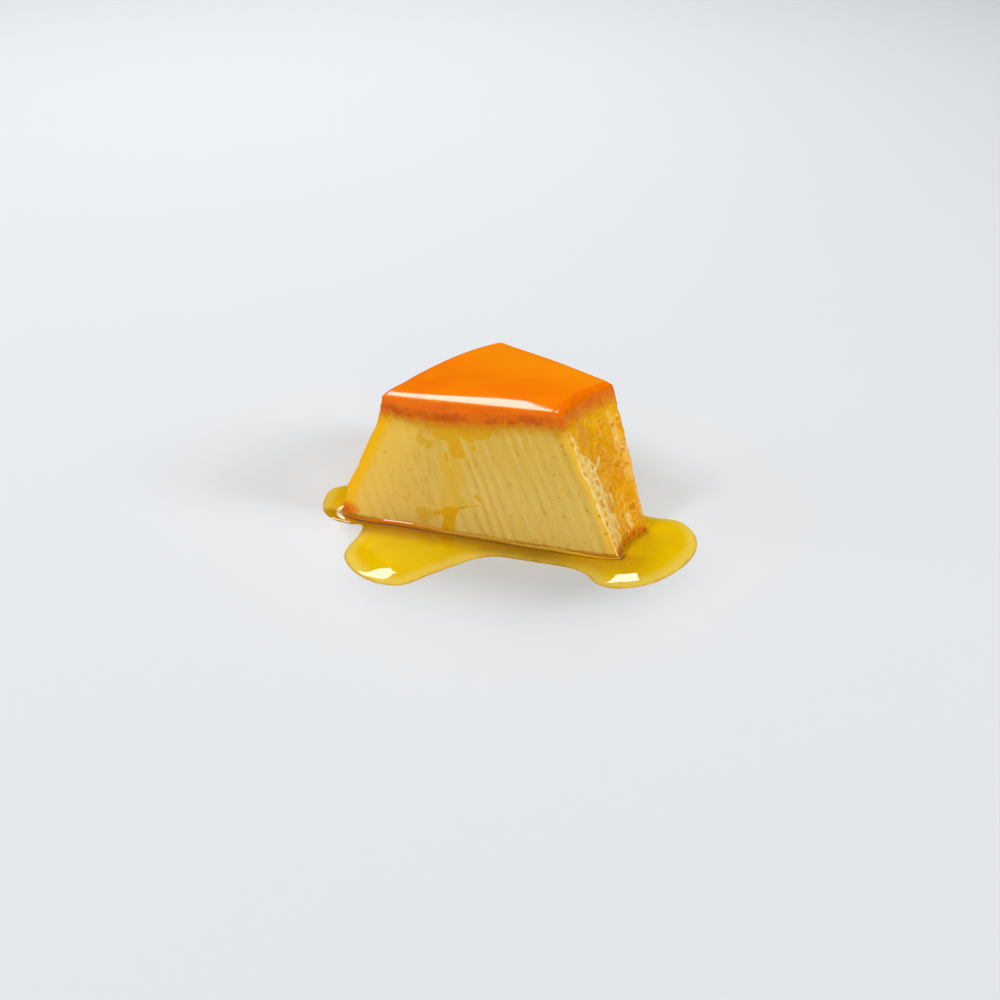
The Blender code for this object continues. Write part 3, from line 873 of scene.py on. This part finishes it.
def make_syrup_pool(material):
    """The syrup round the foot: a domed rim, a level middle, and a film that climbs the custard."""
    outline = closed_curve(POOL_OUTLINE_MM, 16) * MM
    along, turn, side = ring_shares()
    foot = slice_points(along, turn, top_line(along))[:, :2]
    normals = loop_normals(foot)
    radius_mm = np.hypot(foot[:, 0], foot[:, 1]) / MM
    in_front = side == 0
    in_full = in_front * smooth_step(radius_mm, *FRONT_FILM_ENDS_MM)
    thick = evened(OTHER_FILM + (FRONT_FILM - OTHER_FILM) * in_full)
    near_foot = foot + normals * (thick + FILM_FOOT)[:, None]
    rim_count, foot_count = len(outline), len(foot)
    flat = np.concatenate([outline, near_foot, pool_points(outline, foot, near_foot)])
    faces = filled_between(flat, rim_count, foot_count, True).tolist()
    from_rim, from_foot = distances_to(flat, outline), distances_to(flat, foot)
    level = pool_level(flat, from_rim, from_foot)
    level[:rim_count] = 0.0

    base = level[rim_count:rim_count + foot_count]
    top = np.where(in_front, across_pairs(radius_mm, FILM_TOP) * MM, base + FILM_CLIMB)
    top *= 1.0 + 0.10 * lattice_noise(np.column_stack([foot, np.zeros(foot_count)]), 3.0 * MM, 131)
    top = np.maximum(evened(top), base + 0.15 * MM)
    points, climbed = [np.column_stack([flat, level])], [np.zeros(len(flat))]
    around = np.arange(foot_count)
    ring, count = rim_count + around, len(flat)
    for gap, height, share in film_rings(base, top, thick):
        wall = slice_points(along, turn, top_line(along) - height)[:, :2]
        points.append(np.column_stack([wall + normals * gap[:, None], height]))
        climbed.append(np.full(foot_count, share))
        higher = count + around
        faces += np.stack([ring, np.roll(ring, -1), np.roll(higher, -1), higher], axis=1).tolist()
        ring, count = higher, count + foot_count
    under = np.concatenate([outline, points[-1][:, :2]])
    numbers = np.append(np.arange(rim_count), ring)
    faces += numbers[filled_between(under, rim_count, foot_count, False)].tolist()

    points = np.concatenate(points)
    film_count = len(points) - len(flat)
    values = {
        "from_rim": np.append(from_rim / MM, np.full(film_count, 9.0)),
        "from_foot": np.append(from_foot / MM, np.full(film_count, FRONT_FILM / MM)),
        "climbed": np.concatenate(climbed),
        "radius": np.hypot(points[:, 0], points[:, 1]) / MM,
        "front": points[:, :2] @ FRONT_NORMAL / MM,
    }
    return finish_piece(new_mesh("syrup", points, faces), values, material, rim_count + around)


class Look:
    """A Principled material that is built up from node values."""

    def __init__(self, name):
        self.material = bpy.data.materials.new(name)
        self.material.use_nodes = True
        self.tree = self.material.node_tree
        self.shader = self.tree.nodes["Principled BSDF"]
        self.place = self.tree.nodes.new("ShaderNodeTexCoord").outputs["Object"]

    def link(self, source, socket):
        """Sets a socket from another node's output, a number, or a colour as a screen's values."""
        if isinstance(source, bpy.types.NodeSocket):
            self.tree.links.new(source, socket)
        else:
            socket.default_value = display(*source) if isinstance(source, tuple) else source

    def value(self, name):
        """A number kept on the mesh's points."""
        node = self.tree.nodes.new("ShaderNodeAttribute")
        node.attribute_name = name
        return node.outputs["Fac"]

    def noise(self, size_mm, detail=2.0):
        """Noise from 0 to 1 with features of about this size."""
        node = self.tree.nodes.new("ShaderNodeTexNoise")
        node.inputs["Scale"].default_value = 1000.0 / size_mm
        node.inputs["Detail"].default_value = detail
        self.tree.links.new(self.place, node.inputs["Vector"])
        return node.outputs["Fac"]

    def cells(self, size_mm):
        """Distance to the nearest of many scattered points, in steps of this size."""
        node = self.tree.nodes.new("ShaderNodeTexVoronoi")
        node.inputs["Scale"].default_value = 1000.0 / size_mm
        self.tree.links.new(self.place, node.inputs["Vector"])
        return node.outputs["Distance"]

    def sum(self, kind, first, second):
        """Arithmetic of two values, such as ADD or SUBTRACT."""
        node = self.tree.nodes.new("ShaderNodeMath")
        node.operation = kind
        self.link(first, node.inputs[0])
        self.link(second, node.inputs[1])
        return node.outputs["Value"]

    def times(self, first, second):
        """The product of two values."""
        return self.sum("MULTIPLY", first, second)

    def between(self, value, low, high, start=0.0, end=1.0):
        """A smooth change from start to end as the value goes from low to high."""
        if low > high:
            low, high, start, end = high, low, end, start
        node = self.tree.nodes.new("ShaderNodeMapRange")
        node.interpolation_type = "SMOOTHSTEP"
        for name, number in (("From Min", low), ("From Max", high), ("To Min", start), ("To Max", end)):
            node.inputs[name].default_value = number
        self.link(value, node.inputs["Value"])
        return node.outputs["Result"]

    def wobbled(self, value, noise, amount):
        """The value with this much of a noise around 0 added."""
        return self.sum("ADD", value, self.times(self.sum("SUBTRACT", noise, 0.5), amount))

    def mix(self, share, first, second):
        """This share of the way from the first colour or number to the second."""
        node = self.tree.nodes.new("ShaderNodeMix")
        is_number = isinstance(second, float) or getattr(second, "type", "") == "VALUE"
        node.data_type = "FLOAT" if is_number else "RGBA"
        index = 2 if is_number else 6
        self.link(share, node.inputs[0])
        self.link(first, node.inputs[index])
        self.link(second, node.inputs[index + 1])
        return node.outputs[0 if is_number else 2]

    def steps(self, value, low, high, *colours):
        """Colours in turn as the value goes from low to high, each blending into the next."""
        width = (high - low) / (len(colours) - 1)
        result = colours[0]
        for index, colour in enumerate(colours[1:]):
            start = low + index * width
            result = self.mix(self.between(value, start, start + width), result, colour)
        return result

    def over(self, result, *layers):
        """The colour or number with others laid over it in turn, each given as the value that brings it in
        while it goes from low to high, the share that it reaches, and itself."""
        for value, low, high, most, layer in layers:
            result = self.mix(self.between(value, low, high, 0.0, most), result, layer)
        return result

    def bump(self, height, depth_mm):
        """A bump of this depth in mm."""
        node = self.tree.nodes.new("ShaderNodeBump")
        node.inputs["Distance"].default_value = depth_mm * MM
        self.link(height, node.inputs["Height"])
        self.link(node.outputs["Normal"], self.shader.inputs["Normal"])

    def finish(self, colour, roughness, **fixed):
        """Joins the colour and roughness to the shader and sets its fixed values."""
        self.link(colour, self.shader.inputs["Base Color"])
        self.link(roughness, self.shader.inputs["Roughness"])
        for name, number in fixed.items():
            self.shader.inputs[name.replace("_", " ")].default_value = number
        return self.material


def cut_colour(look, patchy, fine, grain):
    """The custard's colour on its cuts and outer wall: pale, with a golden skin, partly a painted glow of
    light through its thin edges, and runs of syrup.
    """
    height, above, outer_gap = look.value("height"), look.value("above_edge"), look.value("outer_gap")
    streak, film = look.value("streak"), look.wobbled(look.value("film"), fine, 0.7)
    face = look.over(
        look.steps(height, 6.0, 38.0, (232, 199, 102), (226, 186, 78)),
        (look.noise(14.0), 0.35, 0.70, 0.5, (236, 192, 80)),
        # Painted light and shade on the knife's ridges: lighter along their crests and darker in the grooves
        # beside them
        (streak, 0.2, 1.1, 0.45, (246, 216, 132)),
        (streak, -0.2, -1.1, 0.40, (210, 164, 52)),
    )
    dash = look.times(look.value("dash"), look.between(patchy, 0.38, 0.62, 0.0, 0.4))
    face = look.mix(dash, face, (204, 152, 30))
    rust = look.steps(patchy, 0.4, 0.65, (255, 180, 0), (244, 150, 0))
    wash = look.wobbled(look.wobbled(look.value("wash"), patchy, 3.0), fine, 2.0)
    face = look.over(
        face,
        (look.wobbled(grain, fine, 0.6), 0.55, 0.80, 0.20, (206, 156, 44)),
        # Towards the outer edge the golden colour is partly the baked skin's own and partly a painted glow of
        # light shining through the thin custard there
        (look.wobbled(outer_gap, patchy, 6.0), 24.0, 5.0, 0.75, (248, 203, 86)),
        (look.wobbled(look.value("stain"), patchy, 5.0), -1.8, 2.2, 0.55, (232, 184, 40)),
        (look.wobbled(above, patchy, 4.0), -5.0, 0.2, 0.75, (218, 158, 16)),
        (look.wobbled(outer_gap, patchy, 1.6), 6.4, 2.4, 1.0, (255, 192, 0)),
        (look.wobbled(outer_gap, fine, 1.5), 1.6, 0.2, 0.6, rust),
        # Beside the inner wall the golden colour is likewise partly the skin's own and partly a painted glow
        # of light through the thin edge
        (look.wobbled(look.value("inner_gap"), patchy, 1.5), 4.2, 0.8, 0.85, (250, 198, 44)),
        (wash, -0.4, 0.7, 0.65, (218, 168, 2)),
        # A painted highlight: the pale rim just outside each drip stands in for light caught on the syrup's
        # wet edge
        (film, -0.9, -0.1, 0.12, (250, 206, 110)),
        (film, -0.14, 0.26, 0.94, (228, 172, 0)),
    )
    glow = look.between(look.wobbled(above, patchy, 2.6), -4.0, 0.4, 0.0, 0.9)
    face = look.mix(look.times(glow, look.between(film, -6.0, 0.0, 0.5, 1.0)), face, (214, 138, 2))
    face = look.over(face, (look.value("pit"), 0.15, 0.7, 0.85, (222, 156, 10)))
    low_down = look.between(look.wobbled(height, fine, 3.0), 6.2, 3.4)
    toe = look.times(look.between(look.wobbled(outer_gap, patchy, 5.0), 8.0, 3.6), low_down)
    face = look.mix(toe, face, look.steps(fine, 0.4, 0.6, (252, 132, 0), (226, 98, 0)))
    return look.over(face, (look.wobbled(height, fine, 0.9), 2.6, 1.7, 0.9, (196, 126, 4)))


def wall_colour(look, patchy, fine):
    """The custard's colour on its inner wall: golden and wet, pale where the syrup has run off, with a
    painted sheen on the pale strip by the front cut.
    """
    height = look.value("height")
    wall = look.over(
        look.steps(patchy, 0.35, 0.68, (248, 186, 6), (236, 160, 0)),
        (look.noise(9.0), 0.42, 0.70, 0.65, (232, 146, 0)),
        (height, 30.0, 10.0, 0.35, (240, 164, 2)),
    )
    # The pale rims round the pores are partly paler custard and partly a painted highlight on the wet, lit
    # rims
    wall = look.mix(look.times(look.value("rim"), 0.45), wall, (255, 214, 90))
    cream = look.steps(fine, 0.35, 0.65, (255, 208, 88), (255, 226, 150))
    hollow = look.steps(patchy, 0.4, 0.6, (244, 174, 0), (222, 142, 0))
    browned = look.steps(fine, 0.35, 0.65, (232, 142, 4), (188, 96, 0))
    return look.over(
        wall,
        (look.wobbled(look.value("peach"), fine, 1.0), -0.3, 0.5, 0.85, (252, 196, 84)),
        (look.wobbled(look.value("cream"), patchy, 2.8), -0.2, 0.7, 0.9, cream),
        (look.value("pit"), 0.1, 0.6, 0.8, hollow),
        (look.wobbled(height, patchy, 3.4), 5.0, 1.6, 1.0, browned),
    )


def band_colour(look, patchy, fine, above, on_inner):
    """The colour of the caramel's cut sides: golden below, brown in the middle and bright above."""
    golden = look.steps(fine, 0.38, 0.62, (230, 138, 2), (214, 118, 0))
    brown = look.steps(patchy, 0.38, 0.60, (234, 114, 0), (208, 94, 0))
    bright = look.steps(patchy, 0.35, 0.65, (250, 122, 0), (240, 110, 0))
    uneven = look.wobbled(look.wobbled(above, patchy, 2.4), fine, 1.2)
    band = look.steps(uneven, 0.0, 4.2, golden, brown, brown, bright)
    return look.mix(look.times(on_inner, 0.55), band, (238, 126, 0))


def side_finish(look):
    """Colour, roughness and bump height of the slice's sides, the same on the custard and the layer."""
    patchy, fine, grain = look.noise(4.0, 3.0), look.noise(1.3, 2.0), look.noise(0.45, 2.0)
    on_inner = look.value("on_inner")
    # On the front cut beside the inner wall the pale custard spills over, partly a painted sheen along that
    # edge
    spill_and_sheen = look.between(look.wobbled(look.value("cream"), fine, 0.8), -0.1, 0.3)
    spill_and_sheen = look.times(look.value("on_front"), spill_and_sheen)
    face = look.mix(spill_and_sheen, cut_colour(look, patchy, fine, grain), (255, 226, 150))
    colour = look.mix(on_inner, face, wall_colour(look, patchy, fine))
    above = look.times(look.value("above_edge"), look.mix(on_inner, 1.0, 0.55))
    in_band = look.between(look.wobbled(above, fine, 1.0), -1.6, 0.9)
    colour = look.mix(in_band, colour, band_colour(look, patchy, fine, above, on_inner))

    film = look.wobbled(look.value("film"), fine, 0.7)
    roughness = look.over(0.46, (film, -0.1, 0.3, 1.0, 0.10), (look.value("outer_gap"), 5.0, 1.0, 0.7, 0.5))
    roughness = look.mix(on_inner, roughness, look.between(fine, 0.3, 0.7, 0.12, 0.30))
    roughness = look.mix(in_band, roughness, 0.40)
    roughness = look.over(roughness, (look.value("height"), 2.6, 1.7, 1.0, 0.12))
    return colour, roughness, look.sum("ADD", fine, look.times(grain, 0.6))


SOFT = {
    "Subsurface_Weight": 0.25,
    "Subsurface_Scale": 2.0 * MM,
    "Subsurface_Radius": (1.0, 0.5, 0.15),
    "IOR": 1.45,
    "Specular_IOR_Level": 0.20,
}
GRAIN_BUMP_MM = 0.07


def custard_material():
    """Baked custard: pale and matt on the cuts, golden and wet on the inner wall, browned at its foot."""
    look = Look("custard_baked")
    colour, roughness, height = side_finish(look)
    look.bump(height, GRAIN_BUMP_MM)
    return look.finish(colour, roughness, **SOFT)


def caramel_material():
    """The caramel layer: clear orange glaze on top, darker and rougher down its cut sides."""
    look = Look("caramel_glaze")
    side_colour, roughness, height = side_finish(look)
    below, outer_gap, film_end = look.value("below"), look.value("outer_gap"), FILM_END / MM
    top = look.over(
        look.steps(look.noise(22.0), 0.35, 0.68, (246, 118, 0), (250, 130, 0)),
        (look.noise(6.0, 1.0), 0.5, 0.75, 0.4, (253, 136, 2)),
        # Lighter towards the back cut: a painted reflection of the bright background in the glaze
        (look.value("turn"), -0.5, 1.0, 0.85, (255, 148, 4)),
        (outer_gap, 5.0, 1.0, 0.6, (244, 118, 0)),
    )
    speckled = look.between(look.noise(12.0), 0.45, 0.60, 0.0, 0.45)
    specks = look.times(look.between(look.cells(1.5), 0.17, 0.07), speckled)
    top = look.mix(specks, top, (220, 94, 0))
    rough = look.steps(look.noise(1.6), 0.4, 0.62, (242, 116, 0), (232, 106, 0))
    top = look.over(top, (look.value("inner_gap"), film_end + 0.3, film_end - 0.3, 0.8, rough))
    is_side = look.between(below, 0.2, 1.3)
    roughness = look.mix(is_side, look.between(outer_gap, 4.0, 0.8, 0.05, 0.12), roughness)
    look.bump(look.times(height, look.between(below, 0.8, 2.4)), GRAIN_BUMP_MM)
    return look.finish(look.mix(is_side, top, side_colour), roughness, **SOFT)


def syrup_material():
    """Caramel syrup on a pale floor: yellow where it is deep, paler near its rim, amber at its very edge."""
    look = Look("caramel_syrup")
    from_foot, climbed, radius = look.value("from_foot"), look.value("climbed"), look.value("radius")
    patchy, fine = look.noise(5.0, 2.0), look.noise(1.4, 2.0)
    near_rim = look.wobbled(look.value("from_rim"), patchy, 1.6)
    colour = look.over(
        look.steps(look.noise(16.0), 0.35, 0.70, (238, 197, 0), (230, 183, 0)),
        # Near the rim the syrup is paler where it thins and where a painted caustic brightens it; the amber
        # line at its very edge is painted shade from refraction at the meniscus
        (near_rim, 5.0, 1.6, 0.8, (238, 206, 84)),
        (near_rim, 0.7, 0.1, 0.85, (226, 168, 60)),
    )
    in_front = look.between(look.value("front"), -2.0, 1.0)
    # Painted shade near the custard's foot, strongest in front: the slice's shadow and the reflection of its
    # dim front cut in the syrup
    shade = look.steps(radius, 36.0, 104.0, (214, 162, 2), (150, 112, 0), (170, 120, 0), (190, 134, 0))
    near_foot = look.between(look.wobbled(from_foot, patchy, 3.0), 14.0, 2.5)
    colour = look.mix(look.times(near_foot, look.mix(in_front, 0.35, 1.0)), colour, shade)
    # Painted shade: a dark line in the crease where the syrup meets the custard's foot
    dark = look.between(look.wobbled(from_foot, fine, 1.3), 1.05, 0.65, 0.0, 0.85)
    colour = look.mix(look.times(dark, look.mix(in_front, 0.3, 1.0)), colour, (126, 74, 0))
    front_film = look.steps(radius, 36.0, 112.0, (236, 176, 14), (200, 152, 8), (208, 146, 6), (230, 128, 0))
    other_film = look.steps(patchy, 0.35, 0.65, (222, 150, 4), (206, 120, 2))
    is_film = look.between(climbed, 0.10, 0.30)
    colour = look.mix(is_film, colour, look.mix(in_front, other_film, front_film))
    pool_roughness = look.mix(in_front, 0.03, look.between(from_foot, 2.2, 0.8, 0.03, 0.35))
    bead = look.between(look.wobbled(radius, patchy, 3.0), 97.0, 100.0)
    bead = look.times(look.between(climbed, 0.50, 0.64), bead)
    return look.finish(
        colour,
        look.mix(is_film, pool_roughness, look.mix(bead, 0.5, 0.06)),
        Subsurface_Weight=0.10,
        Subsurface_Scale=2.0 * MM,
        Subsurface_Radius=(1.0, 0.6, 0.1),
        IOR=1.47,
    )


def floor_material():
    """A plain pale matt floor."""
    return Look("pale_floor").finish((219, 222, 225), 0.75, Specular_IOR_Level=0.15)


def area_light(name, place, size, power, seen_in_gloss):
    """A rectangular light at this place from the mould's axis, facing the slice."""
    data = bpy.data.lights.new(name, "AREA")
    data.shape = "RECTANGLE"
    data.size, data.size_y = size
    data.energy = power
    light = add_object(name, data)
    light.location = MOULD_AXIS + place
    light.rotation_euler = (place - LIGHT_AIM).to_track_quat("Z", "Y").to_euler()
    light.visible_glossy = seen_in_gloss


def from_subject(azimuth, elevation, distance):
    """A place this far from the floor under the slice, its azimuth clockwise from the camera's direction."""
    forward = (CAMERA_AIM - CAMERA_PLACE).to_2d().normalized()
    heading = math.atan2(forward.y, forward.x) - math.radians(azimuth)
    rise = math.radians(elevation)
    flat = distance * math.cos(rise)
    x, y = LIGHT_AIM.x + flat * math.cos(heading), flat * math.sin(heading)
    return Vector((x, y, distance * math.sin(rise)))


def add_lights():
    """Soft lights, of which the gloss mirrors the smaller ones, and a dim world."""
    for name, azimuth, elevation, distance, size, radiance in MIRRORED_LIGHTS:
        power = radiance * math.pi * size[0] * size[1]
        area_light(name, from_subject(azimuth, elevation, distance), size, power, True)
    for name, azimuth, elevation, distance, size, power in FILL_LIGHTS:
        area_light(name, from_subject(azimuth, elevation, distance), size, power, False)
    world = bpy.data.worlds.new("studio")
    world.use_nodes = True
    world.node_tree.nodes["Background"].inputs["Color"].default_value = (0.02, 0.02, 0.02, 1.0)
    bpy.context.scene.world = world


def add_camera():
    """The camera at the photograph's viewpoint."""
    data = bpy.data.cameras.new("camera")
    data.lens = CAMERA_LENS_MM
    data.sensor_width = SENSOR_MM
    camera = add_object("camera", data)
    back = (CAMERA_PLACE - CAMERA_AIM).normalized()
    right = Vector((0.0, 0.0, 1.0)).cross(back).normalized()
    up = back.cross(right)
    turned_right = math.cos(CAMERA_ROLL) * right + math.sin(CAMERA_ROLL) * up
    turned_up = -math.sin(CAMERA_ROLL) * right + math.cos(CAMERA_ROLL) * up
    camera.matrix_world = Matrix((turned_right, turned_up, back)).transposed().to_4x4()
    camera.location = MOULD_AXIS + CAMERA_PLACE
    bpy.context.scene.camera = camera


def add_floor():
    """The floor, which is not part of the object."""
    mesh = bpy.data.meshes.new("floor")
    corners = [(x * FLOOR_REACH, y * FLOOR_REACH, 0.0) for x, y in ((-1, -1), (1, -1), (1, 1), (-1, 1))]
    mesh.from_pydata(corners, [], [(0, 1, 2, 3)])
    mesh.materials.append(floor_material())
    add_object("floor", mesh)


def main():
    for node, slot, make, material in (
        ("custard", "custard", make_custard, custard_material()),
        ("caramel_layer", "caramel_layer", make_caramel_layer, caramel_material()),
        ("syrup_pool", "syrup", make_syrup_pool, syrup_material()),
    ):
        piece = make(material)
        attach(piece, "root")
        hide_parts(node)
    add_floor()
    add_lights()
    add_camera()
    bpy.context.scene.view_settings.view_transform = "Standard"


main()
